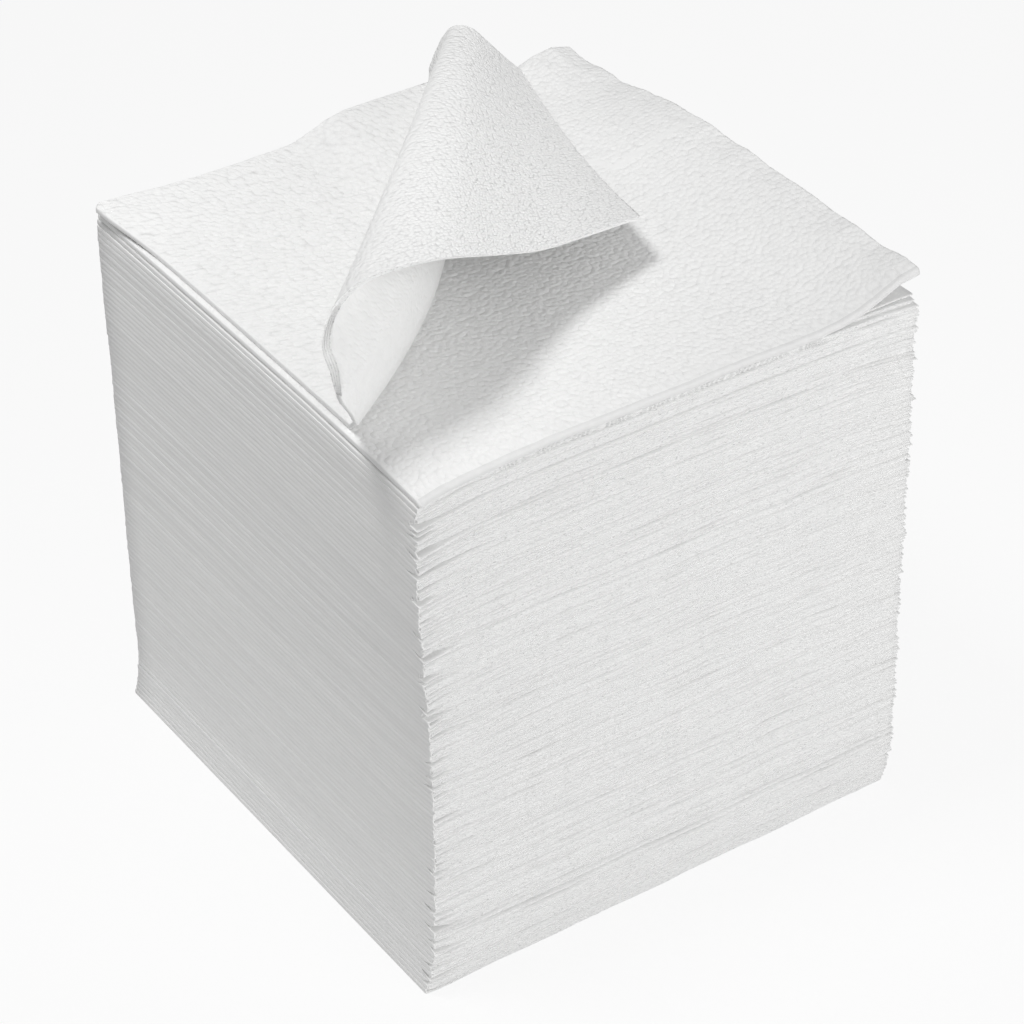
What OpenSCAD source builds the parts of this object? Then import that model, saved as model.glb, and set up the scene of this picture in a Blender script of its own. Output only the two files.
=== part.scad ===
// Stack of quarter-folded paper napkins, the top one pushed up into an arch.
// X runs along the cut front face, Y along the folded left face, Z up from the surface it stands on.

/* [Napkin] */
// Side of a folded napkin, half of the open sheet
side = 120; // [100:1:160]
// Thickness of one leaf, two plies with their embossing
leaf = 0.24; // [0.18:0.01:0.36]
// Clear gap between neighbouring leaves
gap = 0.1; // [0.06:0.01:0.16]

/* [Pile] */
// Pairs of napkins under the two top ones
pairs = 49; // [12:1:57]
// Clear gap between napkins that lie on each other
lie = 0.02; // [0.01:0.01:0.1]
// How far a napkin may lie out of line, each way
ragged = 0.35; // [0:0.05:1]
// How far a napkin may be turned out of line, in degrees
twist = 0.15; // [0:0.05:0.5]
// How far the top of the pile leans to the left corner
lean = 2; // [0:0.5:4]
// Number of low napkins that stick out at the left corner
splayed = 4; // [0:1:8]
// How far the lowest napkin sticks out there
splay = 3; // [0:0.5:5]

/* [Arch of the top napkin] */
// Distance of the top napkin's folded edge from the pile's left face
top_inset = 1; // [0:0.5:4]
// Length of the left edge that is lifted, from the front corner
lift_front = 26; // [16:1:40]
// Length of the back edge that is lifted, from the back corner
lift_back = 38.5; // [28:0.5:48]
// How far the right corner is pushed to the left
push_x = 40; // [32:1:48]
// How far the right corner is pushed to the back
push_y = 41; // [32:1:48]
// Height of the pushed corner's underside above the pile
corner_h = 10; // [6:1:16]
// Height of the arch at its front rim
crown_h = 36; // [26:1:44]
// Height of the arch at the back edge
back_h = 15.5; // [10:0.5:20]
// Width of the arch along the back edge
back_w = 23; // [16:1:26]
// How far the arch's left foot bows in under it
bow = 10; // [0:0.5:12]
// How far the right edge sags between the pushed corner and the back edge
edge_sag = 3; // [0:0.5:3]
// Clear height of the right edge where it meets the back edge
edge_clear = 0.3; // [0.2:0.1:1]

/* [Hidden] */
thick = 4 * leaf + 3 * gap;
double = 2 * leaf + gap;
fold_r = thick / 2;
double_r = double / 2;
over = 1;
fold_facets = 48;
seed = 7;
count = 2 * pairs + 1;
pitch = thick + lie;
pile_h = count * pitch;
paper = [0.96, 0.96, 0.95];

function pair_name(i) = str("pair_", i < 10 ? "0" : "", i);

// How far napkin k, counted from the bottom, lies out of line: two shifts and a turn
scatter = rands(-1, 1, 3 * count, seed);
function leant(k) = lean * (0.5 - k / (count - 1));
function spread(k) = splay * max(0, 1 - k / max(splayed, 1));
function shift(k) = [
    ragged * scatter[3 * k] + (leant(k) - spread(k)) / sqrt(2),
    ragged * scatter[3 * k + 1] - (leant(k) - spread(k)) / sqrt(2),
    k * pitch
];
function turn(k) = twist * scatter[3 * k + 2];

// Flat leaves that turn round one fold on the left, r away from the fold's axis
module turned_leaves(r, from_y, to_y, to_x) {
    axis_x = fold_r - side / 2;
    translate([axis_x, from_y, fold_r - r])
        cube([to_x - axis_x, to_y - from_y, 2 * r]);
    translate([axis_x, from_y, fold_r])
        rotate([-90, 0, 0]) cylinder(r = r, h = to_y - from_y, $fn = fold_facets);
}

// One napkin folded twice: nested folds on the left, two single folds at the back,
// and four loose leaves at the front and on the right
module flat_napkin() {
    axis_x = fold_r - side / 2;
    axis_y = side / 2 - double_r;
    out = side / 2 + over;
    difference() {
        union() {
            turned_leaves(fold_r, -side / 2, axis_y, side / 2);
            for (z = [double_r, thick - double_r])
                translate([axis_x, axis_y, z])
                    rotate([0, 90, 0]) cylinder(r = double_r, h = side / 2 - axis_x, $fn = fold_facets);
        }
        difference() {
            turned_leaves(fold_r - leaf, -out, axis_y - leaf, out);
            turned_leaves(fold_r - leaf - gap, -out - over, axis_y, out + over);
        }
        turned_leaves(gap / 2, -out, out, out);
    }
}

// Napkin k of the pile, in its place
module napkin(k) {
    translate(shift(k)) rotate(turn(k)) flat_napkin();
}

module pair(i) {
    color(paper) {
        napkin(2 * i - 2);
        napkin(2 * i - 1);
    }
}

module second_napkin() {
    color(paper) napkin(count - 1);
}

// The arch is ruled between its front rim and the back edge. Each row gives one ruling:
// the rim's place along, across and above the lift line, then the back's place across and above.
// Shares of the pushed corner's reach, of crown_h, of back_w and of back_h.
rulings = [
    [0.04, 0.05, 0.44, 0.06, 0.33],
    [0.00, 0.045, 0.66, 0.12, 0.62],
    [0.015, 0.01, 0.81, 0.19, 0.88],
    [0.07, 0.05, 0.955, 0.27, 1.00],
    [0.155, 0.16, 1.00, 0.36, 0.99],
    [0.30, 0.34, 0.91, 0.48, 0.88],
    [0.52, 0.515, 0.65, 0.62, 0.64],
    [0.69, 0.655, 0.457, 0.76, 0.40],
    [0.825, 0.80, 0.37, 0.88, 0.20]
];
along = [1, 1, 0] / sqrt(2);
across = [1, -1, 0] / sqrt(2);
left_x = top_inset + fold_r - side / 2;
back_y = side / 2 - double_r;
corner_trim = 1;
lift_start = [left_x, lift_front - side / 2, 0];
lift_end = [side / 2 - lift_back, back_y, 0];
pushed = [side / 2 - push_x, push_y - side / 2, corner_h];
reach_along = (pushed - lift_start) * along;
reach_across = (pushed - lift_start) * across;
corner_along = -lift_front / sqrt(2);
foot = 24;

function rim_point(r) = lift_start + along * (corner_along + r[0] * (reach_along - corner_along))
    + across * r[1] * reach_across + [0, 0, r[2] * crown_h];
function back_point(r) = lift_end + [r[3] * back_w, 0, r[4] * back_h];
rim = concat([lift_start], [for (r = rulings) rim_point(r)], [pushed]);
back = concat([lift_end], [for (r = rulings) back_point(r)], [lift_end + [back_w, 0, edge_clear]]);
last = len(rim) - 1;

// A smooth curve through the points of a list; it leaves the first point level
function before(p, dir) = p[1] - dir * foot;
function after(p) = 2 * p[last] - p[last - 1];
function padded(p, dir) = concat([before(p, dir)], p, [after(p)]);
function curve(p, k, f) = (2 * p[k + 1] + (p[k + 2] - p[k]) * f
    + (2 * p[k] - 5 * p[k + 1] + 4 * p[k + 2] - p[k + 3]) * pow(f, 2)
    + (3 * p[k + 1] - p[k] - 3 * p[k + 2] + p[k + 3]) * pow(f, 3)) / 2;
rim_curve = padded(rim, across);
back_curve = padded(back, [1, 0, 0] * back_h / crown_h);

// Rows of the sheet's underside: flat from the left corner to the lift line, then over the arch
steps = 3;
flat_rows = 4;
cells = 7;
rows = flat_rows + steps * last;
flat_rim = [left_x, back_y - corner_trim, 0];
flat_back = [left_x + corner_trim, back_y, 0];
function rim_row(i) = i < flat_rows
    ? flat_rim + (lift_start - flat_rim) * i / flat_rows
    : let (q = min(i - flat_rows, steps * last - 1), k = floor(q / steps))
        curve(rim_curve, k, (i - flat_rows - k * steps) / steps);
function back_row(i) = i < flat_rows
    ? flat_back + (lift_end - flat_back) * i / flat_rows
    : let (q = min(i - flat_rows, steps * last - 1), k = floor(q / steps))
        curve(back_curve, k, (i - flat_rows - k * steps) / steps);

// The foot bows in and the right edge sags, both most halfway between the rim and the back
bow_to = 0.45;
sag_from = 0.75;
function fade(s) = s < 1 ? pow(1 - s, 2) * (1 + 2 * s) : 0;
function bowed(i) = i < flat_rows ? i / flat_rows : fade((i - flat_rows) / (rows - flat_rows) / bow_to);
function sagged(i) = pow(max(0, (i / rows - sag_from) / (1 - sag_from)), 2);
function bent(i, t) = 4 * t * (1 - t) * (across * bow * bowed(i) - [0, 0, edge_sag * sagged(i)]);
under = [for (i = [0 : rows]) let (a = rim_row(i), b = back_row(i))
    [for (j = [0 : cells]) let (t = j / cells) a + (b - a) * t + bent(i, t)]];

// Lower and upper surfaces of the four leaves, square to the underside
function unit(v) = v / norm(v);
function step(i, j) = unit(under[i + 1][j] - under[i][j]);
function tangent(i, j) = step(min(i, rows - 1), j) + step(max(i - 1, 0), j);
function normal(i, j) = i < flat_rows ? [0, 0, 1]
    : unit(cross(tangent(i, j), under[i][min(j + 1, cells)] - under[i][max(j - 1, 0)]));
levels = [for (k = [0 : 3]) each [k * (leaf + gap), k * (leaf + gap) + leaf]];
function place(s, i, j) = under[i][j] + levels[s] * normal(i, j);

// Round bends that join two surfaces: nested ones along the left edge up to the napkin's front corner,
// pairs of single ones along the back edge
left_bends = [[0, 7], [1, 6], [2, 5], [3, 4]];
back_bends = [[0, 3], [1, 2], [4, 7], [5, 6]];
bend_steps = 4;
corner_ruling = 1.5;
corner_row = flat_rows + round(corner_ruling * steps);
function outward(i, j) = unit(cross(tangent(i, j), normal(i, j))) * (j == 0 ? 1 : -1);
function bend_place(bend, k, i, j) = let (p = place(bend[0], i, j), q = place(bend[1], i, j))
    (p + q) / 2 + (p - q) / 2 * cos(180 * k / bend_steps)
    + outward(i, j) * norm(q - p) / 2 * sin(180 * k / bend_steps);

// Faces between two rows of point numbers, or between all the neighbouring rows of a list,
// seen from the one side or from the other, with the same diagonals
function quad(a, b, c, d) = [[a, c, b], [a, d, c]];
function strip(p, q) = [for (i = [0 : len(p) - 2]) each quad(p[i], p[i + 1], q[i + 1], q[i])];
function strip_back(p, q) = [for (i = [0 : len(p) - 2]) each quad(p[i], q[i], q[i + 1], p[i + 1])];
function strips(list) = [for (k = [0 : len(list) - 2]) each strip(list[k], list[k + 1])];
function strips_back(list) = [for (k = [0 : len(list) - 2]) each strip_back(list[k], list[k + 1])];
function ends(list, i) = [for (row = list) row[i]];

// The arched napkin: one closed sheet in four leaves, joined by its folds and open at its cut edges
module folded_sheet() {
    grid = (rows + 1) * (cells + 1);
    left_size = corner_row + 1;
    back_size = rows + 1;
    rings = bend_steps - 1;
    left_from = len(levels) * grid;
    back_from = left_from + len(left_bends) * rings * left_size;
    points = concat(
        [for (s = [0 : len(levels) - 1]) for (i = [0 : rows]) for (j = [0 : cells]) place(s, i, j)],
        [for (b = left_bends) for (k = [1 : rings]) for (i = [0 : corner_row]) bend_place(b, k, i, 0)],
        [for (b = back_bends) for (k = [1 : rings]) for (i = [0 : rows]) bend_place(b, k, i, cells)]
    );
    function row(s, i) = [for (j = [0 : cells]) s * grid + i * (cells + 1) + j];
    function column(s, j, from, to) = [for (i = [from : to]) s * grid + i * (cells + 1) + j];
    function left_path(b) = concat(
        [column(left_bends[b][0], 0, 0, corner_row)],
        [for (k = [0 : rings - 1]) [for (i = [0 : corner_row]) left_from + (b * rings + k) * left_size + i]],
        [column(left_bends[b][1], 0, 0, corner_row)]);
    function back_path(b) = concat(
        [column(back_bends[b][0], cells, 0, rows)],
        [for (k = [0 : rings - 1]) [for (i = [0 : rows]) back_from + (b * rings + k) * back_size + i]],
        [column(back_bends[b][1], cells, 0, rows)]);
    faces = concat(
        [for (k = [0 : 3]) each strips([for (i = [0 : rows]) row(2 * k, i)])],
        [for (k = [0 : 3]) each strips_back([for (i = [0 : rows]) row(2 * k + 1, i)])],
        [for (k = [0 : 3]) each strip(column(2 * k, 0, corner_row, rows), column(2 * k + 1, 0, corner_row, rows))],
        [for (k = [0 : 3]) each strip_back(row(2 * k, 0), row(2 * k + 1, 0))],
        [for (k = [0 : 3]) each strip(row(2 * k, rows), row(2 * k + 1, rows))],
        [for (b = [0, 2]) let (outer = left_path(b), inner = left_path(b + 1)) each concat(
            strips(outer),
            strips_back(inner),
            strip(ends(outer, 0), ends(inner, 0)),
            strip_back(ends(outer, corner_row), ends(inner, corner_row)))],
        [for (b = [0, 2]) let (outer = back_path(b), inner = back_path(b + 1)) each concat(
            strips_back(outer),
            strips(inner),
            strip_back(ends(outer, 0), ends(inner, 0)),
            strip(ends(outer, rows), ends(inner, rows)))]
    );
    polyhedron(points = points, faces = faces);
}

module top_napkin() {
    color(paper) translate([0, 0, pile_h]) folded_sheet();
}

top_napkin();
second_napkin();
for (i = [1 : pairs]) pair(i);
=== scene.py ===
"""Dresses the stack of paper napkins: one hundred folded sheets, their tissue, the light and the camera."""
import math

import bmesh
import bpy
import numpy as np
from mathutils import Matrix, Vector

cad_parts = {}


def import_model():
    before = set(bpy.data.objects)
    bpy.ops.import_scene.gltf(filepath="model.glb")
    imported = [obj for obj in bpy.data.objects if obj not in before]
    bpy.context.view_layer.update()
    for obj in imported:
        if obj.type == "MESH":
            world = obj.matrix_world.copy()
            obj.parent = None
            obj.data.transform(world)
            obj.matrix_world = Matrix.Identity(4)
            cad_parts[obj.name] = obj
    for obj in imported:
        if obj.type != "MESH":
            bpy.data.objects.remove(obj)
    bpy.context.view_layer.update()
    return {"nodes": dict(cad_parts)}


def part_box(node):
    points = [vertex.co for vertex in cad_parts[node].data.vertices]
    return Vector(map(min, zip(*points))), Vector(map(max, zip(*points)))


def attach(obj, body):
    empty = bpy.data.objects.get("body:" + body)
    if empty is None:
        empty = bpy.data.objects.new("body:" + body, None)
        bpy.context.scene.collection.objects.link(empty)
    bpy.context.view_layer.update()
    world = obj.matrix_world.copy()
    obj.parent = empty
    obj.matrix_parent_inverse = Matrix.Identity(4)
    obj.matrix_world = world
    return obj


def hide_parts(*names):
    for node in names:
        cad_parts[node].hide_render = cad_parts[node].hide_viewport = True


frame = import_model()
rng = np.random.default_rng(7)

# Sizes of a napkin and its pile, in millimetres
MM = 0.001
SIDE = 120.0
HALF = SIDE / 2
LEAF = 0.25
LEAF_GAP = 0.06
LEAVES = 4
THICK = LEAVES * LEAF + (LEAVES - 1) * LEAF_GAP
FOLD_BULGE = 0.5
BACK_BULGE = 0.3
FOLD_FLATNESS = 0.2
ROUND_FOLD = 0.55
FOLD_SEGMENTS = 8
BACK_SEGMENTS = 4
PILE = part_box("second_napkin")[1].z / MM

# Height above the napkin's own underside of the lower and upper surface of each leaf
LEVELS = np.array([k * (LEAF + LEAF_GAP) + side for k in range(LEAVES) for side in (0, LEAF)])

# Kinds of faces, in the order of the materials: plain sheet, cut leaf edge, fold, embossed sheet, sheet that
# is pressed smooth and painted greyer as shade, and the underside of embossed sheet
FACE, CUT, FOLD, EMBOSSED, PRESSED_SHADE, UNDERSIDE = range(6)


def smooth(value):
    """Rises from 0 to 1 with level ends."""
    value = np.clip(value, 0, 1)
    return value ** 2 * (3 - 2 * value)


# Waves and fields that bend the pile

def wave(short, long, size, terms=5):
    """A smooth random function along an edge, made of sines between two wavelengths."""
    lengths = rng.uniform(short, long, terms)
    phases = rng.uniform(0, 2 * np.pi, terms)
    sizes = rng.normal(0, size / math.sqrt(terms / 2), terms)
    return lambda s: sum(a * np.sin(2 * np.pi * s / l + p) for a, l, p in zip(sizes, lengths, phases))


FIELD_STEP = 2.0
FIELD_EDGE = HALF + 10
FIELD_MARGIN = 0.001
field_line = np.arange(-FIELD_EDGE, FIELD_EDGE + FIELD_STEP / 2, FIELD_STEP)
field_x, field_y = np.meshgrid(field_line, field_line, indexing="ij")


def sample(field, x, y):
    """Values of a field on the square grid at any points, by bilinear steps."""
    last = len(field_line) - 1 - FIELD_MARGIN
    i = np.clip((x + FIELD_EDGE) / FIELD_STEP, 0, last)
    j = np.clip((y + FIELD_EDGE) / FIELD_STEP, 0, last)
    i0, j0 = i.astype(int), j.astype(int)
    fi, fj = i - i0, j - j0
    low = field[i0, j0] * (1 - fi) + field[i0 + 1, j0] * fi
    high = field[i0, j0 + 1] * (1 - fi) + field[i0 + 1, j0 + 1] * fi
    return low * (1 - fj) + high * fj


FRONT_DROOP, FRONT_REACH_X, FRONT_REACH_Y = 3.0, 9.0, 34.0
RIGHT_DROOP, RIGHT_REACH_X, RIGHT_REACH_Y = 1.8, 14.0, 40.0


def droop(x, y):
    """How far the top of the pile hangs down towards its front and right corners."""
    left, front, right = (np.maximum(d, 0) for d in (x + HALF, y + HALF, HALF - x))
    return (FRONT_DROOP * np.exp(-left / FRONT_REACH_X - front / FRONT_REACH_Y)
            + RIGHT_DROOP * np.exp(-right / RIGHT_REACH_X - front / RIGHT_REACH_Y))


# For each edge of the pile, how many slits to expect in a gap and how far they open
EDGE_SLITS = {"front": (0.4, 0.12), "left": (0.12, 0.1), "right": (0.6, 0.3), "back": (0.4, 0.16)}
SLIT_LENGTH = (4, 18)
SLIT_DEPTH = (3, 9)
SLIT_SHARE = (0.2, 1)
LEAST_GAP = 0.03
EVEN_GAP = (0.01, 0.09)


def gap_field():
    """The clear gap between two neighbouring napkins, with random slits that open at the edges."""
    gap = LEAST_GAP + rng.uniform(*EVEN_GAP) * np.ones_like(field_x)
    edges = {"front": (field_x, field_y + HALF), "left": (field_y, field_x + HALF),
             "right": (field_y, HALF - field_x), "back": (field_x, HALF - field_y)}
    for edge, (chance, size) in EDGE_SLITS.items():
        along, inward = edges[edge]
        for _ in range(rng.poisson(chance)):
            centre, length = rng.uniform(-HALF, HALF), rng.uniform(*SLIT_LENGTH)
            depth, opening = rng.uniform(*SLIT_DEPTH), size * rng.uniform(*SLIT_SHARE) ** 2
            away = (np.maximum(inward, 0) / depth) ** 2
            gap += opening * np.exp(-((along - centre) / length) ** 2 - away)
    return gap


COUNT = 2 * sum(name.startswith("pair_") for name in frame["nodes"]) + 1
gaps = np.array([gap_field() for _ in range(COUNT)])
gaps *= (PILE - COUNT * THICK - droop(field_x, field_y)) / gaps.sum(0)
floors = np.cumsum(gaps, 0) - gaps[0] + THICK * np.arange(COUNT)[:, None, None]
pile_top = floors[-1] + THICK + gaps[0]

# Long waves that the napkins of the middle share along their front edges
SWAY, SWAY_LENGTHS, SWAY_REACH, SWAY_DRIFT = 0.15, (13.0, 23.0, 41.0), 9.0, 0.06
for k in range(COUNT):
    sway = sum(np.sin(2 * np.pi * field_x / length + n + SWAY_DRIFT * k * (-1) ** n)
               for n, length in enumerate(SWAY_LENGTHS))
    inward = np.maximum(field_y + HALF, 0)
    floors[k] += SWAY * math.sin(math.pi * k / (COUNT - 1)) * sway * np.exp(-inward / SWAY_REACH)

RECESS, RECESS_TOP, RECESS_REACH = 1.6, 0.75, 22.0


def recess(x, y, z):
    """How far the front corner is pressed in to the right, below the top of the pile."""
    share = np.clip(z / (RECESS_TOP * PILE), 0, 1)
    near = np.exp(-np.maximum(x + HALF, 0) / RECESS_REACH - np.maximum(y + HALF, 0) / RECESS_REACH)
    return RECESS * np.sin(np.pi * share) * near


# Folded sheets as closed meshes

class Sheet:
    """Collects the points and faces of one folded napkin."""

    def __init__(self):
        self.points, self.faces, self.kinds, self.count, self.flat = [], [], [], 0, {}

    def add(self, points):
        flat = np.asarray(points).reshape(-1, 3)
        self.points.append(flat)
        start, self.count = self.count, self.count + len(flat)
        return np.arange(start, self.count).reshape(np.shape(points)[:-1])

    def grid(self, index, kind):
        quads = np.stack([index[:-1, :-1], index[1:, :-1], index[1:, 1:], index[:-1, 1:]], -1)
        self.faces += quads.reshape(-1, 4).tolist()
        self.kinds += [kind] * quads[..., 0].size

    def strip(self, a, b, kind):
        """Joins two rows of points; one row may have a whole number of times more of them."""
        if len(a) > len(b):
            a, b = b, a
        m = (len(b) - 1) // (len(a) - 1)
        for s in range(len(a) - 1):
            self.faces.append([int(v) for v in (a[s], *b[s * m:(s + 1) * m + 1], a[s + 1])])
            self.kinds.append(kind)

    def cut(self, rows):
        """Closes the edge of each leaf along a border."""
        for k in range(LEAVES):
            self.strip(rows[2 * k], rows[2 * k + 1], CUT)

    def fold(self, rows, step, low, high, out, bulge, flatness, swell=(0, 0), segments=FOLD_SEGMENTS):
        """Turns leaf low round into leaf high along a border: two bends, one in the other, with closed ends.

        swell is how much the outer bend is thicker than the leaves, below and above."""
        plain = [row[::m] for row, m in zip(rows, step)]
        places = np.concatenate(self.points)
        sections = []
        bends = ((1, 2 * low, 2 * high + 1, bulge), (0, 2 * low + 1, 2 * high, bulge - LEAF))
        for outer, start, end, reach in bends:
            a, b = places[plain[start]], places[plain[end]]
            upward = (b - a) / np.linalg.norm(b - a, axis=1, keepdims=True)
            ring = []
            for turn in np.pi * np.arange(1, segments) / segments:
                down = np.sign(np.cos(turn)) * abs(np.cos(turn)) ** flatness
                away = max(reach, LEAF_GAP / 2) * np.sin(turn) ** flatness
                extra = outer * np.reshape(down * (swell[0] if down > 0 else swell[1]), (-1, 1))
                ring.append(self.add((a + b) / 2 - (b - a) / 2 * down - upward * extra + out * away))
            whole = [rows[start], *ring, rows[end]]
            for first, second in zip(whole, whole[1:]):
                self.strip(first, second, FOLD)
            sections.append([plain[start], *ring, plain[end]])
        for end in (0, -1):
            self.strip(*[[row[end] for row in section] for section in sections], FOLD)

    def build(self, name, materials):
        """Makes the Blender object, in metres, with its normals outward."""
        mesh = bpy.data.meshes.new(name)
        mesh.from_pydata((np.concatenate(self.points) * MM).tolist(), [], self.faces)
        mesh.polygons.foreach_set("material_index", np.array(self.kinds, np.int32))
        mesh.polygons.foreach_set("use_smooth", np.array(self.kinds) != CUT)
        for material in materials:
            mesh.materials.append(material)
        if self.flat:
            places = np.zeros((self.count, 3))
            for start, flat in self.flat.items():
                places[start:start + flat[..., 0].size, :2] = flat.reshape(-1, 2)
            mesh.attributes.new("flat", "FLOAT_VECTOR", "POINT").data.foreach_set("vector", places.ravel())
        bm = bmesh.new()
        bm.from_mesh(mesh)
        bmesh.ops.recalc_face_normals(bm, faces=bm.faces)
        bm.to_mesh(mesh)
        bm.free()
        mesh.update()
        piece = bpy.data.objects.new(name, mesh)
        bpy.context.scene.collection.objects.link(piece)
        return piece


def folded(name, surfaces, fine, nested, single, cuts, materials, kinds=None, flat=None,
           flatness=FOLD_FLATNESS, swell=(0, 0)):
    """One folded napkin from the eight surfaces of its leaves; the uppermost has fine times as many cells.

    nested and single give borders as (pick, axis, outward), and cuts gives them as pick alone. pick takes
    the point numbers of a surface and how much finer it is, and axis is the direction that the border runs
    in. kinds are the kinds of the uppermost faces, and flat holds the places of their points on the flat
    sheet, for the embossing."""
    sheet = Sheet()
    index = [sheet.add(s) for s in surfaces]
    for grid in index:
        sheet.grid(grid, FACE)
    if kinds is not None:
        sheet.kinds[-kinds.size:] = kinds.ravel().tolist()
        sheet.kinds[:surfaces[0][1:, 1:, 0].size] = [UNDERSIDE] * surfaces[0][1:, 1:, 0].size
        sheet.flat = {0: flat[::fine[0], ::fine[1]], int(index[-1][0, 0]): flat}
    finer = [(1, 1)] * (2 * LEAVES - 1) + [fine]

    def rows(pick):
        return [pick(grid, m) for grid, m in zip(index, finer)]

    pick, axis, out = nested
    step = [m[axis] for m in finer]
    sheet.fold(rows(pick), step, 0, 3, out, FOLD_BULGE, flatness, swell)
    sheet.fold(rows(pick), step, 1, 2, out, FOLD_BULGE - LEAF - LEAF_GAP, flatness)
    pick, axis, out = single
    step = [m[axis] for m in finer]
    for low in (0, 2):
        sheet.fold(rows(pick), step, low, low + 1, out, BACK_BULGE, flatness, segments=BACK_SEGMENTS)
    for pick in cuts:
        sheet.cut(rows(pick))
    return sheet.build(name, materials)


# Pebble embossing of the tissue: a real relief, and finer pebbles in the material over it

PEBBLE_PITCH = 1.12
RELIEF_PITCH = 1.6
RELIEF_DEPTH = 0.14
CREST = 0.4
DOME = 1.7
RELIEF_CELLS = 128
RELIEF_JITTER = 0.42
jitter = rng.uniform(-RELIEF_JITTER, RELIEF_JITTER, (RELIEF_CELLS, RELIEF_CELLS, 2))


def pebbles(x, y):
    """Height of the embossing, in millimetres: round domes that meet in narrow valleys."""
    u, v = x / RELIEF_PITCH, y / RELIEF_PITCH
    iu, iv = np.floor(u).astype(int), np.floor(v).astype(int)
    near = np.full(u.shape, np.inf)
    for du in (-1, 0, 1):
        for dv in (-1, 0, 1):
            shift = jitter[(iu + du) % RELIEF_CELLS, (iv + dv) % RELIEF_CELLS]
            to_u, to_v = iu + du + 0.5 + shift[..., 0] - u, iv + dv + 0.5 + shift[..., 1] - v
            near = np.minimum(near, np.hypot(to_u, to_v))
    return RELIEF_DEPTH * (CREST - DOME * near ** 2)


# Tissue materials

def new_material(name):
    material = bpy.data.materials.new(name)
    material.use_nodes = True
    nodes, links = material.node_tree.nodes, material.node_tree.links
    shader = nodes["Principled BSDF"]
    shader.inputs["Roughness"].default_value = 0.9
    shader.inputs["Specular IOR Level"].default_value = 0.25
    shader.inputs["Sheen Weight"].default_value = 0.12
    shader.inputs["Sheen Roughness"].default_value = 0.6
    return material, nodes, links, shader


def scaled_coordinates(nodes, links, scale):
    where = nodes.new("ShaderNodeTexCoord")
    mapping = nodes.new("ShaderNodeMapping")
    mapping.inputs["Scale"].default_value = scale
    links.new(where.outputs["Object"], mapping.inputs["Vector"])
    return mapping.outputs["Vector"]


def noise(nodes, links, scale, detail=3, roughness=0.6):
    texture = nodes.new("ShaderNodeTexNoise")
    texture.inputs["Scale"].default_value = 1.0
    texture.inputs["Detail"].default_value = detail
    texture.inputs["Roughness"].default_value = roughness
    links.new(scaled_coordinates(nodes, links, scale), texture.inputs["Vector"])
    return texture.outputs["Fac"]


def ramp(nodes, links, value, stops):
    node = nodes.new("ShaderNodeValToRGB")
    for k, (place, colour) in enumerate(stops):
        stop = node.color_ramp.elements[k] if k < 2 else node.color_ramp.elements.new(place)
        stop.position = place
        stop.color = (*colour, 1)
    links.new(value, node.inputs["Fac"])
    return node.outputs["Color"]


def bump(nodes, links, height, strength, distance, onto=None):
    node = nodes.new("ShaderNodeBump")
    node.inputs["Strength"].default_value = strength
    node.inputs["Distance"].default_value = distance
    links.new(height, node.inputs["Height"])
    if onto is not None:
        links.new(onto, node.inputs["Normal"])
    return node.outputs["Normal"]


WHITE = (0.945, 0.945, 0.94)

# Scales of the paper's clouds and fibres, in cells a metre
CLOUDS = (260, 260, 260)
FIBRES = (2600, 2600, 2600)


def shade(amount):
    return tuple(c * amount for c in WHITE)


def tint(nodes, links, shader, value, low, high):
    """Paper white that goes from a low to a high shade with a noise."""
    stops = ((0.3, shade(low)), (0.7, shade(high)))
    links.new(ramp(nodes, links, value, stops), shader.inputs["Base Color"])


def roughen(nodes, links, shader, value, low=0.82, high=0.98):
    stops = ((0.2, (low,) * 3), (0.8, (high,) * 3))
    links.new(ramp(nodes, links, value, stops), shader.inputs["Roughness"])


def tissue_face():
    """Upper and lower surface of a leaf: soft, with fine fibres."""
    material, nodes, links, shader = new_material("tissue_face")
    tint(nodes, links, shader, noise(nodes, links, CLOUDS), 0.975, 1.01)
    fibre = noise(nodes, links, FIBRES, detail=4)
    links.new(bump(nodes, links, fibre, 0.25, 0.0001), shader.inputs["Normal"])
    roughen(nodes, links, shader, fibre)
    return material


def tissue_cut():
    """Cut leaf edges: torn fibres, and small dots of painted shade where the embossing holds two leaves
    apart.
    """
    material, nodes, links, shader = new_material("tissue_cut")
    fibre = noise(nodes, links, (1100, 1100, 3600), detail=5, roughness=0.7)
    torn = ramp(nodes, links, fibre, ((0.34, shade(0.8)), (0.5, shade(0.98)), (0.72, shade(1.03))))
    # Painted shade: dark dots for the openings between leaves, which hold shadow
    cells = nodes.new("ShaderNodeTexVoronoi")
    cells.inputs["Scale"].default_value = 1.0
    links.new(scaled_coordinates(nodes, links, (720, 720, 1150)), cells.inputs["Vector"])
    pinhole_shade = ramp(nodes, links, cells.outputs["Distance"], ((0.1, (0.74,) * 3), (0.24, (1.0,) * 3)))
    both = nodes.new("ShaderNodeMix")
    both.data_type = "RGBA"
    both.blend_type = "MULTIPLY"
    both.inputs[0].default_value = 1.0
    links.new(torn, both.inputs[6])
    links.new(pinhole_shade, both.inputs[7])
    links.new(both.outputs[2], shader.inputs["Base Color"])
    links.new(bump(nodes, links, fibre, 0.6, 0.0003), shader.inputs["Normal"])
    roughen(nodes, links, shader, fibre, 0.86, 1.0)
    return material


def tissue_fold():
    """Folds: pressed smooth, with long faint streaks along the layers."""
    material, nodes, links, shader = new_material("tissue_fold")
    streak = noise(nodes, links, (40, 40, 900), detail=3)
    tint(nodes, links, shader, streak, 0.95, 1.01)
    fibre = noise(nodes, links, (900, 900, 2600), detail=4)
    links.new(bump(nodes, links, fibre, 0.3, 0.0002), shader.inputs["Normal"])
    roughen(nodes, links, shader, fibre)
    return material


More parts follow.
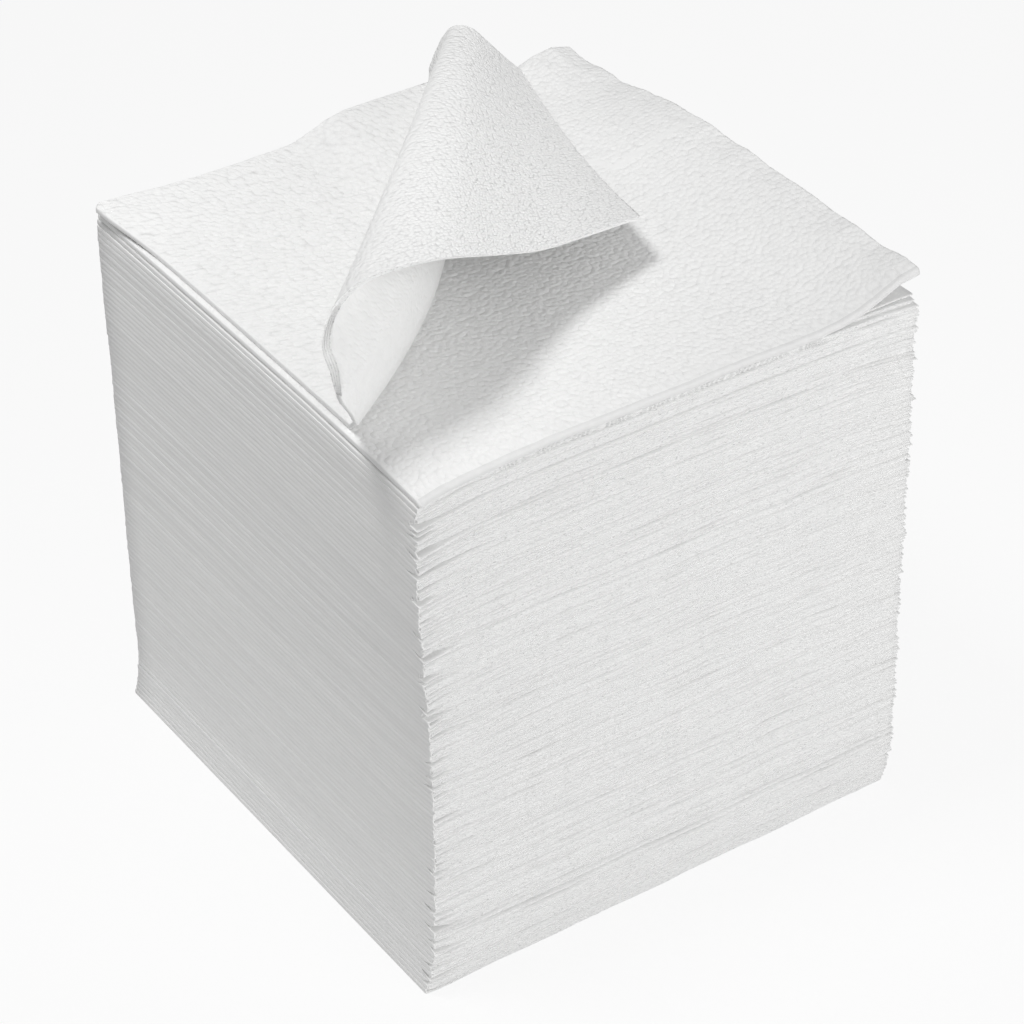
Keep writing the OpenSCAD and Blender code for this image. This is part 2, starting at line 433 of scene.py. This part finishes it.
def tissue_pressed_shade():
    """Bands without embossing, painted a little greyer as shade where they turn away from the light."""
    material, nodes, links, shader = new_material("tissue_pressed_shade")
    # Painted shade: this band is tinted darker than the rest of the white sheet
    tint(nodes, links, shader, noise(nodes, links, (420, 420, 420)), 0.84, 0.89)
    fibre = noise(nodes, links, (1800, 1800, 1800), detail=4)
    links.new(bump(nodes, links, fibre, 0.3, 0.0001), shader.inputs["Normal"])
    roughen(nodes, links, shader, fibre)
    return material


def tissue_embossed(name, depth):
    """The faces that show: round pebbles pressed into the paper, over the fibres."""
    material, nodes, links, shader = new_material(name)
    tint(nodes, links, shader, noise(nodes, links, CLOUDS), 0.975, 1.01)
    place = nodes.new("ShaderNodeAttribute")
    place.attribute_name = "flat"
    cells = nodes.new("ShaderNodeTexVoronoi")
    cells.voronoi_dimensions = "2D"
    cells.feature = "SMOOTH_F1"
    cells.inputs["Scale"].default_value = 1 / PEBBLE_PITCH
    cells.inputs["Smoothness"].default_value = 0.2
    cells.inputs["Randomness"].default_value = 0.8
    links.new(place.outputs["Vector"], cells.inputs["Vector"])
    dome = nodes.new("ShaderNodeMath")
    dome.operation = "MULTIPLY_ADD"
    links.new(cells.outputs["Distance"], dome.inputs[0])
    links.new(cells.outputs["Distance"], dome.inputs[1])
    dome.inputs[2].default_value = 0.0
    pressed = bump(nodes, links, dome.outputs[0], 1.0, -depth)
    fibre = noise(nodes, links, FIBRES, detail=4)
    links.new(bump(nodes, links, fibre, 0.25, 0.0001, pressed), shader.inputs["Normal"])
    roughen(nodes, links, shader, fibre)
    return material


# Depth of the pebbles in the material on the second napkin, the undersides and the arch, in metres
SECOND_DEPTH, UNDERSIDE_DEPTH, ARCHED_DEPTH = 0.00032, 0.0002, 0.00046

tissue = [tissue_face(), tissue_cut(), tissue_fold(), tissue_embossed("tissue_embossed", SECOND_DEPTH),
          tissue_pressed_shade(), tissue_embossed("tissue_underside", UNDERSIDE_DEPTH)]
arched_tissue = [*tissue[:EMBOSSED], tissue_embossed("tissue_arched", ARCHED_DEPTH), *tissue[PRESSED_SHADE:]]


# The pile: each napkin lies about where its solid lies

# Share of a napkin's own shift in X, shift in Y and turn that is kept, beside the mean of its neighbours
SCATTER_EASE = np.array([0.08, 0.5, 0.08])
NEIGHBOURS = 6


def placing(node, part, parts):
    """Centre and turn of one of the napkins in a node, from the node's own points."""
    points = np.array([v.co for v in frame["nodes"][node].data.vertices]) / MM
    low, high = points[:, 2].min(), points[:, 2].max()
    levels = np.clip(((points[:, 2] - low) / (high - low) * parts).astype(int), 0, parts - 1)
    points = points[levels == part]
    centre = (points.min(0) + points.max(0))[:2] / 2
    corner = points[np.argmax(points[:, 0] - points[:, 1]), :2] - centre
    return centre, math.atan2(corner[1], corner[0]) + math.pi / 4


def eased(places):
    """The napkins' places with their folded edges more in line, as if pushed against a wall."""
    given = np.array([(*centre, turn) for centre, turn in places])
    calm = np.array([given[max(k - NEIGHBOURS, 0):k + NEIGHBOURS + 1].mean(0) for k in range(len(given))])
    return [((x, y), turn) for x, y, turn in calm + SCATTER_EASE * (given - calm)]


def layer(place, k, local_x, local_y):
    """Places of points on the underside of napkin k of the pile, from its own flat places."""
    (cx, cy), turn = place
    x = cx + local_x * math.cos(turn) - local_y * math.sin(turn)
    y = cy + local_x * math.sin(turn) + local_y * math.cos(turn)
    z = sample(floors[k], x, y)
    return np.stack([x + recess(x, y, z), y, z], -1)


# Columns and rows of points on a leaf, closer together near its edges, as shares of its side
STATIONS_X = np.array([0, 0.5, 1.5, 3.5, 7, 12, 18, 25, 33, 42, 51, 60, 69, 78, 87, 95, 102, 108, 113, 117,
                       120]) / SIDE
STATIONS_Y = np.array([0, 0.6, 2.5, 8, 19, 36, 56, 78, 98, 112, 120]) / SIDE
LEAF_OUT = 0.17
NAPKIN_OUT = 0.25
EDGE_WAVE = (9, 45, 0.12)
EDGE_FADE = 10.0


def borders(xs, ys):
    """Random outline of one leaf: how far its front and right edges stand out."""
    front = rng.normal(0, LEAF_OUT) + wave(*EDGE_WAVE)(xs)
    right = rng.normal(0, LEAF_OUT) + wave(*EDGE_WAVE)(ys)
    return front, right


NOTCH_CHANCE, NOTCH_DEPTH, NOTCH_REACH, UNEVEN_BACK = 0.5, (1.6, 3.6), (1.5, 4.0), 0.5
NOTCH_FIRST, NOTCH_LAST = (0, 1, 1), (3, 3, 4)


def notches(xs):
    """How far the front edges of the four leaves draw back beside the fold; some open it like a tube."""
    back = rng.uniform(0, UNEVEN_BACK, LEAVES)
    first, last = rng.choice(NOTCH_FIRST), rng.choice(NOTCH_LAST)
    back[first:last] += rng.uniform(*NOTCH_DEPTH) * (rng.random() < NOTCH_CHANCE)
    return back[:, None] * np.exp(-(xs - xs[0]) / rng.uniform(*NOTCH_REACH))


def pile_leaves(k, place, inset, stations_x, stations_y):
    """Undersides of the four leaves of a napkin of the pile, with the places of its columns and rows."""
    xs = -HALF + FOLD_BULGE + inset + (SIDE - FOLD_BULGE - inset) * stations_x
    ys = -HALF + (SIDE - BACK_BULGE) * stations_y
    local_x, local_y = np.meshgrid(xs, ys)
    front_fade = np.clip(1 - (local_y + HALF) / EDGE_FADE, 0, 1)
    right_fade = np.clip(1 - (HALF - local_x) / EDGE_FADE, 0, 1)
    drawn = notches(xs) * (k < COUNT - 2)
    out = rng.normal(0, NAPKIN_OUT)
    leaves = []
    for leaf in range(LEAVES):
        front, right = borders(xs, ys)
        leaves.append(layer(place, k, local_x + (out + right)[:, None] * right_fade,
                            local_y - (front - drawn[leaf]) * front_fade))
    return leaves, local_x, local_y


# Share of the clear gaps that a fold's outer bend fills, and the most that it does
SWELL, MOST_SWELL = 0.46, 0.08


def pile_mesh(k, name, surfaces, turn, **looks):
    """A napkin of the pile, from surfaces whose first axis runs along Y and second along X."""
    left = np.tile([-math.cos(turn), -math.sin(turn), 0], (len(surfaces[0]), 1))
    back = np.tile([-math.sin(turn), math.cos(turn), 0], (len(surfaces[0][0]), 1))
    edge = surfaces[0][:, 0]
    swell = [np.minimum(SWELL * sample(gaps[n % COUNT], edge[:, 0], edge[:, 1]), MOST_SWELL) * (n > 0)
             for n in (k, k + 1)]
    looks = {"fine": (1, 1), "swell": swell, **looks}
    return folded(name, surfaces, nested=(lambda g, m: g[:, 0], 0, left),
                  single=(lambda g, m: g[-1], 1, back),
                  cuts=(lambda g, m: g[:, -1], lambda g, m: g[0]), materials=tissue, **looks)


def pile_napkin(k, name, place, inset):
    """One plain napkin of the pile."""
    leaves, _, _ = pile_leaves(k, place, inset, STATIONS_X, STATIONS_Y)
    surfaces = [flat + [0, 0, level] for flat, pair in zip(leaves, LEVELS.reshape(-1, 2)) for level in pair]
    return pile_mesh(k, name, surfaces, place[1])


def between(values, fine):
    """The values of a list and fine - 1 even steps between each two of them."""
    values = np.asarray(values)
    return np.interp(np.arange((len(values) - 1) * fine + 1) / fine, np.arange(len(values)), values)


def refined(grid, fine):
    """A grid of points with fine times as many cells each way, by straight steps."""
    for axis in (0, 1):
        count = grid.shape[axis] - 1
        at = np.arange(count * fine + 1) / fine
        low = np.minimum(at.astype(int), count - 1)
        part = (at - low).reshape((-1, 1, 1) if axis == 0 else (1, -1, 1))
        grid = np.take(grid, low, axis) * (1 - part) + np.take(grid, low + 1, axis) * part
    return grid


# The third napkin, whose front edges are crimped together into small pleats

CRIMP_STATIONS_X = np.linspace(0, 1, 601)
CRIMP_STATIONS_Y = np.array([0, 0.6, 1.6, 4, 40, 120]) / SIDE
CRIMP_PITCH, CRIMP_OUT, CRIMP_UP, CRIMP_REACH = 1.45, 0.2, 0.05, 1.2
CRIMP_FROM, CRIMP_TO, CRIMP_FADE = -46.0, 46.0, 9.0
CRIMP_WAVE = (5, 14, 0.5)
CRIMP_FLATNESS = 0.4


def crimped_napkin(k, name, place, inset):
    """The napkin under the second one."""
    leaves, local_x, local_y = pile_leaves(k, place, inset, CRIMP_STATIONS_X, CRIMP_STATIONS_Y)
    uneven = wave(*CRIMP_WAVE)
    pleat = np.sin(2 * np.pi * (local_x / CRIMP_PITCH + uneven(local_x)))
    starts = np.clip((local_x - CRIMP_FROM) / CRIMP_FADE, 0, 1)
    ends = np.clip((CRIMP_TO - local_x) / CRIMP_FADE, 0, 1)
    pleat *= starts * ends * np.exp(-((local_y + HALF) / CRIMP_REACH) ** 2)
    surfaces = []
    for leaf, flat in enumerate(leaves):
        flat = flat + pleat[..., None] * [0, -CRIMP_OUT, CRIMP_UP]
        surfaces += [flat + [0, 0, level] for level in LEVELS[2 * leaf:2 * leaf + 2]]
    return pile_mesh(k, name, surfaces, place[1], flatness=CRIMP_FLATNESS)


# The second napkin, whose embossed face shows: its front edge is rolled, and its right and back edges lift

TOP_STATIONS_X = np.arange(0, SIDE + 1, 5) / SIDE
TOP_STATIONS_Y = np.array([0, 0.7, 1.8, 4, *range(8, 121, 4)]) / SIDE
TOP_FINE = 10
ROLL_RADIUS, ROLL_FROM, ROLL_OUT, ROLL_EASE = 0.75, 1.6, 0.95, 2.4
LEAF_BACK, LEAF_BACK_REACH = 1.0, 1.2
RIGHT_LIFT, RIGHT_FROM, RIGHT_TO = 6.2, 10.0, 60.0
RIGHT_WIDTH, RIGHT_WIDER, RIGHT_WIDER_BY = 13.0, 8.0, 45.0
CORNER_LIFT, CORNER_REACH_X, CORNER_REACH_Y = 0.8, 12.0, 8.0
LEAF_LIFT = (0.0, 0.05, 0.15, 1.0)
BACK_LEAF_LIFT = (0.0, 0.3, 0.66, 1.0)
BACK_LIFT, BACK_LIFT_X, BACK_LIFT_WIDTH, BACK_LIFT_REACH = 3.5, 53.5, 7.5, 13.0
EDGE_RIPPLE, RIPPLE_REACH, RIPPLE_WAVE = 0.4, 5.0, (7, 20, 0.6)
OPEN_FROM, OPEN_FADE = -16.0, 6.0
EMBOSS_SHIFT = 300.0
SMOOTH_EDGE = 1.9
SMOOTH_BAND, SMOOTH_WIDTH = ((35.0, 17.0), (37.0, 11.5), (59.0, 12.7)), 1.8


def from_line(x, y, corners):
    """Distance of points from a bent line."""
    far = np.full(x.shape, np.inf)
    for (ax, ay), (bx, by) in zip(corners, corners[1:]):
        along = ((x - ax) * (bx - ax) + (y - ay) * (by - ay)) / ((bx - ax) ** 2 + (by - ay) ** 2)
        along = np.clip(along, 0, 1)
        far = np.minimum(far, np.hypot(x - ax - along * (bx - ax), y - ay - along * (by - ay)))
    return far


def rolled(y, depth):
    """Shift forward and down of the front edge, which rolls over; depth is how far under the upper face."""
    into = y + HALF
    past = np.maximum(ROLL_FROM - into, 0)
    turn = past / ROLL_RADIUS
    radius = ROLL_RADIUS - depth
    forward = ROLL_OUT * (1 - smooth((into - ROLL_FROM) / ROLL_EASE)) + radius * np.sin(turn) - past
    return np.stack([0 * into, -forward, -radius * (1 - np.cos(turn))], -1)


def lifted_right(x, y):
    """The loose upper leaf stands up along the right edge, less towards its fold at the back."""
    width = RIGHT_WIDTH + RIGHT_WIDER * smooth((y + HALF) / RIGHT_WIDER_BY)
    along = 1 - smooth((y - RIGHT_FROM) / (RIGHT_TO - RIGHT_FROM))
    corner = CORNER_LIFT * np.exp(-((HALF - x) / CORNER_REACH_X) ** 2 - ((y + HALF) / CORNER_REACH_Y) ** 2)
    return RIGHT_LIFT * along * np.exp(-((HALF - x) / width) ** 2) + corner


def lifted_back(x, y):
    """The leaves rise a little at the right end of the back edge."""
    inward = ((HALF - y) / BACK_LIFT_REACH) ** 2
    return BACK_LIFT * np.exp(-((x - BACK_LIFT_X) / BACK_LIFT_WIDTH) ** 2 - inward)


def second_napkin(k, name, place, inset):
    """The napkin under the arched one."""
    leaves, local_x, local_y = pile_leaves(k, place, inset, TOP_STATIONS_X, TOP_STATIONS_Y)
    lift, back_lift = lifted_right(local_x, local_y), lifted_back(local_x, local_y)
    ripple = EDGE_RIPPLE * (1 + wave(*RIPPLE_WAVE)(local_y))
    lift += ripple * np.exp(-((HALF - local_x) / RIPPLE_REACH) ** 2)
    drawn = LEAF_BACK * np.exp(-((local_y + HALF) / LEAF_BACK_REACH) ** 2)
    surfaces = []
    for leaf, flat in enumerate(leaves):
        flat = flat + (lift * LEAF_LIFT[leaf] + back_lift * BACK_LEAF_LIFT[leaf])[..., None] * [0, 0, 1]
        if leaf < LEAVES - 1:
            flat = flat + drawn[..., None] * [0, 1, 0]
        surfaces += [flat + [0, 0, level] for level in LEVELS[2 * leaf:2 * leaf + 2]]
    surfaces[-2] = surfaces[-2] + rolled(local_y, LEAF)
    x, y = np.meshgrid(between(local_x[0], TOP_FINE), between(local_y[:, 0], TOP_FINE))
    top = refined(surfaces[-1], TOP_FINE) + rolled(y, 0)
    open_side = np.clip(((x - y) / math.sqrt(2) - OPEN_FROM) / OPEN_FADE, 0, 1)
    edge = np.clip((y + HALF) / SMOOTH_EDGE, 0, 1)
    flat = np.stack([x, y], -1) + EMBOSS_SHIFT
    top[..., 2] += pebbles(flat[..., 0], flat[..., 1]) * open_side * edge ** 2
    surfaces[-1] = top
    mid_x, mid_y = x[:-1, :-1], y[:-1, :-1]
    kinds = np.where(from_line(mid_x, mid_y, SMOOTH_BAND) > SMOOTH_WIDTH / 2, EMBOSSED, FACE)
    # The rolled front band gets the greyer material, painted shade where it turns away from the light
    kinds[mid_y < SMOOTH_EDGE - HALF] = PRESSED_SHADE
    return pile_mesh(k, name, surfaces, place[1], fine=(TOP_FINE, TOP_FINE), kinds=kinds, flat=flat,
                     flatness=ROUND_FOLD)


# How far the folds of the uppermost napkins of the pile draw in from the left
SHOULDER = {COUNT - 1: 0.55, COUNT - 2: 0.2, COUNT - 3: 0.08}


def finish_piece(piece, node):
    """Ties a napkin to the root body and hides the solid of its node."""
    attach(piece, "root")
    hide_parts(node)


def home(k):
    """The node that holds napkin k of the pile, which of its napkins that is, and how many it holds."""
    return (f"pair_{k // 2 + 1:02d}", k % 2, 2) if k < COUNT - 1 else ("second_napkin", 0, 1)


places = eased([placing(*home(k)) for k in range(COUNT)])
for k, place in enumerate(places):
    name = f"napkin_{k + 1:03d}"
    make = {COUNT - 1: second_napkin, COUNT - 2: crimped_napkin}.get(k, pile_napkin)
    finish_piece(make(k, name, place, SHOULDER.get(k, 0)), home(k)[0])


# The arched top napkin

TOP_INSET = 1.0
LIFT_FRONT = 26.0
LIFT_BACK = 38.5
PUSH = (40.0, 41.0)
CORNER_H = 10.0
CROWN_H = 36.0
BACK_H = 15.5
BACK_W = 23.0
BOW, BOW_TO = 10.0, 0.45
EDGE_SAG, SAG_FROM = 3.0, 0.72
EDGE_CLEAR = 0.3
FOOT = 24.0
CORNER_TRIM = 1.0
LOOSE_LIFT, LOOSE_REACH, LOOSE_OUT = 1.6, 13.0, 2.8
RAMP, RAMP_FROM, RAMP_LENGTH, RAMP_REACH, RAMP_OVER = 4.2, -16.0, 16.0, 22.0, 0.35
RIM_STEPS, RIM_STEP_ROWS = (1.5, 1.0, 0.5, 0.0), 3
SEAT_REACH = 4.0

# Shares of the pushed corner's reach along and across the lift line and of the crown's height, then of the
# arch's width and height at the back edge
RULINGS = np.array([
    (0.04, 0.05, 0.44, 0.06, 0.33), (0.00, 0.045, 0.66, 0.12, 0.62), (0.015, 0.01, 0.81, 0.19, 0.88),
    (0.07, 0.05, 0.955, 0.27, 1.00), (0.155, 0.16, 1.00, 0.36, 0.99), (0.30, 0.34, 0.91, 0.48, 0.88),
    (0.52, 0.515, 0.65, 0.62, 0.64), (0.69, 0.655, 0.457, 0.76, 0.40), (0.825, 0.80, 0.37, 0.88, 0.20)])

ALONG = np.array([1, 1, 0]) / math.sqrt(2)
ACROSS = np.array([1, -1, 0]) / math.sqrt(2)
left_x = TOP_INSET + FOLD_BULGE - HALF
back_y = HALF - BACK_BULGE
lift_start = np.array([left_x, LIFT_FRONT - HALF, 0])
lift_end = np.array([HALF - LIFT_BACK, back_y, 0])
pushed = np.array([HALF - PUSH[0], PUSH[1] - HALF, CORNER_H])
reach_along, reach_across = (pushed - lift_start) @ ALONG, (pushed - lift_start) @ ACROSS
corner_along = -LIFT_FRONT / math.sqrt(2)


def smooth_curve(points, start, stations):
    """A curve through points that leaves the first one level; stations run from 0 to 1."""
    p = np.vstack([points[1] - start * FOOT, points, 2 * points[-1] - points[-2]])
    q = np.clip(stations, 0, 1) * (len(points) - 1)
    k = np.minimum(q.astype(int), len(points) - 2)
    f = (q - k)[:, None]
    a, b, c, d = p[k], p[k + 1], p[k + 2], p[k + 3]
    return (2 * b + (c - a) * f + (2 * a - 5 * b + 4 * c - d) * f ** 2 + (3 * b - a - 3 * c + d) * f ** 3) / 2


def lengths(curve):
    steps = np.linalg.norm(np.diff(curve, axis=0), axis=1)
    return np.concatenate([[0], np.cumsum(steps)])


def unit(vectors):
    return vectors / np.linalg.norm(vectors, axis=-1, keepdims=True)


# Rows run from the left corner over the flat part and the arch to the pushed corner, columns from rim to back
FLAT_ROWS, ARCH_ROWS, CELLS, FINE = 18, 36, 28, 7
flat_count = FLAT_ROWS * FINE
flat_share = np.linspace(0, 1, flat_count, endpoint=False)
arch_share = np.linspace(0, 1, ARCH_ROWS * FINE + 1)
column_share = np.linspace(0, 1, CELLS * FINE + 1)


def arch_edges():
    """The front rim and the back edge of the top napkin, one point a row."""
    rim_points = [lift_start]
    back_points = [lift_end]
    for along, across, height, back_across, back_height in RULINGS:
        rim_points.append(lift_start + ALONG * (corner_along + along * (reach_along - corner_along))
                          + ACROSS * across * reach_across + [0, 0, height * CROWN_H])
        back_points.append(lift_end + [back_across * BACK_W, 0, back_height * BACK_H])
    rim_points.append(pushed)
    back_points.append(lift_end + [BACK_W, 0, EDGE_CLEAR])
    rim = smooth_curve(np.array(rim_points), ACROSS, arch_share)
    back = smooth_curve(np.array(back_points), np.array([1, 0, 0]) * BACK_H / CROWN_H, arch_share)
    flat_rim = np.array([left_x, back_y - CORNER_TRIM, 0])
    flat_back = np.array([left_x + CORNER_TRIM, back_y, 0])
    rim = np.vstack([flat_rim + (lift_start - flat_rim) * flat_share[:, None], rim])
    back = np.vstack([flat_back + (lift_end - flat_back) * flat_share[:, None], back])
    return rim, back


def ruled(rim, back):
    """The underside over a level pile: lines from rim to back edge, bowed beside the lift line and sagging
    near the pushed corner."""
    fall = np.clip(arch_share / BOW_TO, 0, 1)
    bowed = np.concatenate([flat_share, (1 - fall) ** 2 * (1 + 2 * fall)])
    sagged = np.concatenate([0 * flat_share, np.maximum(0, (arch_share - SAG_FROM) / (1 - SAG_FROM)) ** 2])
    bend = BOW * bowed[:, None] * ACROSS - EDGE_SAG * sagged[:, None] * np.array([0, 0, 1])
    t = column_share[:, None]
    return rim[:, None] + (back - rim)[:, None] * t + bend[:, None] * (4 * t * (1 - t))


def sheet_normals(under):
    """Directions out of the underside towards the upper face, straight up on the flat part."""
    normal = unit(np.cross(np.gradient(under, axis=0), np.gradient(under, axis=1)))
    normal[:flat_count] = [0, 0, 1]
    return normal


def open_places(rim, back):
    """Places of the points on the open, flat napkin, for the embossing, and lengths along the lifted rim."""
    rim_s, back_s = lengths(rim[flat_count:]), lengths(back[flat_count:])
    rim_s *= (LIFT_FRONT + SIDE) / rim_s[-1]
    back_s *= LIFT_BACK / back_s[-1]
    flat_rim = np.stack([left_x + np.maximum(rim_s - LIFT_FRONT, 0),
                         np.maximum(lift_start[1] - rim_s, -HALF)], -1)
    flat_back = np.stack([lift_end[0] + back_s, np.full(len(back_s), back_y)], -1)
    flat_rim = np.vstack([rim[:flat_count, :2], flat_rim])
    flat_back = np.vstack([back[:flat_count, :2], flat_back])
    return flat_rim[:, None] + (flat_back - flat_rim)[:, None] * column_share[None, :, None], rim_s


def seated(under):
    """The underside on the uneven pile, with a ramp along the back edge and a loose left corner."""
    x, y, z = np.moveaxis(under, -1, 0)
    near = np.exp(-z / SEAT_REACH)
    z = z + (sample(pile_top, x, y) * near + PILE * (1 - near))
    over = np.concatenate([0 * flat_share, arch_share])[:, None]
    climb = smooth((x - RAMP_FROM) / RAMP_LENGTH) * (1 - smooth(over / RAMP_OVER))
    z = z + RAMP * climb * np.exp(-((back_y - y) / RAMP_REACH) ** 2)
    loose = np.exp(-(np.hypot(x - left_x, y - back_y) / LOOSE_REACH) ** 2)
    return np.stack([x, y, z], -1) + loose[..., None] * [-LOOSE_OUT, 0, LOOSE_LIFT]


def arched_napkin(name):
    """The top napkin: flat at the left, then ruled between its front rim and the back edge."""
    rim, back = arch_edges()
    bare = ruled(rim, back)
    normal = sheet_normals(bare)
    flat, rim_s = open_places(rim, back)
    under = seated(bare)
    coarse, coarse_normal = under[::FINE, ::FINE], normal[::FINE, ::FINE]
    surfaces = [coarse + coarse_normal * level for level in LEVELS[:-1]]
    surfaces.append(under + normal * (LEVELS[-1] + pebbles(flat[..., 0], flat[..., 1]))[..., None])
    corner = FLAT_ROWS + int(np.searchsorted(rim_s, LIFT_FRONT)) // FINE
    inward = unit(coarse[:, 1] - coarse[:, 0])
    stepped = np.clip((np.arange(len(coarse)) - corner) / RIM_STEP_ROWS, 0, 1)[:, None]
    for k, surface in enumerate(surfaces[:-1]):
        surface[:, 0] += RIM_STEPS[k // 2] * stepped * inward
    out = unit(coarse[:corner + 1, 0] - coarse[:corner + 1, 1])
    single = unit(coarse[:, -1] - coarse[:, -2])
    kinds = np.full(np.subtract(under.shape[:2], 1), EMBOSSED)
    return folded(name, surfaces, (FINE, FINE), (lambda g, m: g[:corner * m[0] + 1, 0], 0, out),
                  (lambda g, m: g[:, -1], 0, single),
                  (lambda g, m: g[corner * m[0]:, 0], lambda g, m: g[0], lambda g, m: g[-1]), arched_tissue,
                  kinds, flat, ROUND_FOLD)


finish_piece(arched_napkin(f"napkin_{COUNT + 1:03d}"), "top_napkin")


# Floor, light and camera

FLOOR_SIZE, FLOOR_GREY, FLOOR_GLOW = 6, 0.9, 0.88


def floor():
    """A pale plane that glows towards the camera, so that only a faint shadow shows on it."""
    bpy.ops.mesh.primitive_plane_add(size=FLOOR_SIZE)
    plane = bpy.context.object
    plane.name = "floor"
    material = bpy.data.materials.new("floor_white")
    material.use_nodes = True
    nodes, links = material.node_tree.nodes, material.node_tree.links
    shader = nodes["Principled BSDF"]
    shader.inputs["Base Color"].default_value = (FLOOR_GREY, FLOOR_GREY, FLOOR_GREY, 1)
    shader.inputs["Roughness"].default_value = 0.9
    glow = nodes.new("ShaderNodeEmission")
    glow.inputs["Strength"].default_value = 1.0
    path = nodes.new("ShaderNodeLightPath")
    share = nodes.new("ShaderNodeMath")
    share.operation = "MULTIPLY"
    share.inputs[1].default_value = FLOOR_GLOW
    links.new(path.outputs["Is Camera Ray"], share.inputs[0])
    mix = nodes.new("ShaderNodeMixShader")
    links.new(share.outputs[0], mix.inputs["Fac"])
    links.new(shader.outputs[0], mix.inputs[1])
    links.new(glow.outputs[0], mix.inputs[2])
    links.new(mix.outputs[0], nodes["Material Output"].inputs["Surface"])
    plane.data.materials.append(material)


def area_light(name, aim, towards, distance, size, power, spread=180):
    """A square soft light that looks at a place from one direction."""
    data = bpy.data.lights.new(name, "AREA")
    data.size = size
    data.energy = power
    data.spread = math.radians(spread)
    light = bpy.data.objects.new(name, data)
    aim = Vector(aim)
    way = Vector(towards).normalized()
    light.location = aim + way * distance
    light.rotation_mode = "QUATERNION"
    light.rotation_quaternion = way.to_track_quat("Z", "Y")
    bpy.context.scene.collection.objects.link(light)


def world(strength):
    """Even white light from all sides."""
    made = bpy.data.worlds.new("studio")
    made.use_nodes = True
    background = made.node_tree.nodes["Background"]
    background.inputs["Color"].default_value = (1, 1, 1, 1)
    background.inputs["Strength"].default_value = strength
    bpy.context.scene.world = made


CAMERA_AZIMUTH, CAMERA_ELEVATION = math.radians(-34.59), math.radians(35.82)
CAMERA_TARGET = Vector((0.1199, 0.1711, -0.0889))
CAMERA_DISTANCE = 1.0144
CAMERA_LENS, CAMERA_SENSOR = 124.7, 36


def camera():
    """The camera that was fitted to the corners of the stack in the photo."""
    data = bpy.data.cameras.new("camera")
    data.lens = CAMERA_LENS
    data.sensor_width = CAMERA_SENSOR
    eye = bpy.data.objects.new("camera", data)
    level = math.cos(CAMERA_ELEVATION)
    back = Vector((math.sin(CAMERA_AZIMUTH) * level, -math.cos(CAMERA_AZIMUTH) * level,
                   math.sin(CAMERA_ELEVATION)))
    eye.location = CAMERA_TARGET + back * CAMERA_DISTANCE
    eye.rotation_mode = "QUATERNION"
    eye.rotation_quaternion = back.to_track_quat("Z", "Y")
    bpy.context.scene.collection.objects.link(eye)
    bpy.context.scene.camera = eye


floor()
world(strength=0.4)
area_light("key", aim=(-0.045, 0.035, PILE * MM), towards=(-0.25, 0.0, 1.0), distance=0.45, size=0.12,
           power=0.155, spread=66)
area_light("front", aim=(0, 0, 0.7 * PILE * MM), towards=(0.28, -1.0, 0.32), distance=0.75, size=0.6,
           power=2.5)
camera()
bpy.context.scene.view_settings.view_transform = "Standard"

bpy.context.view_layer.update()
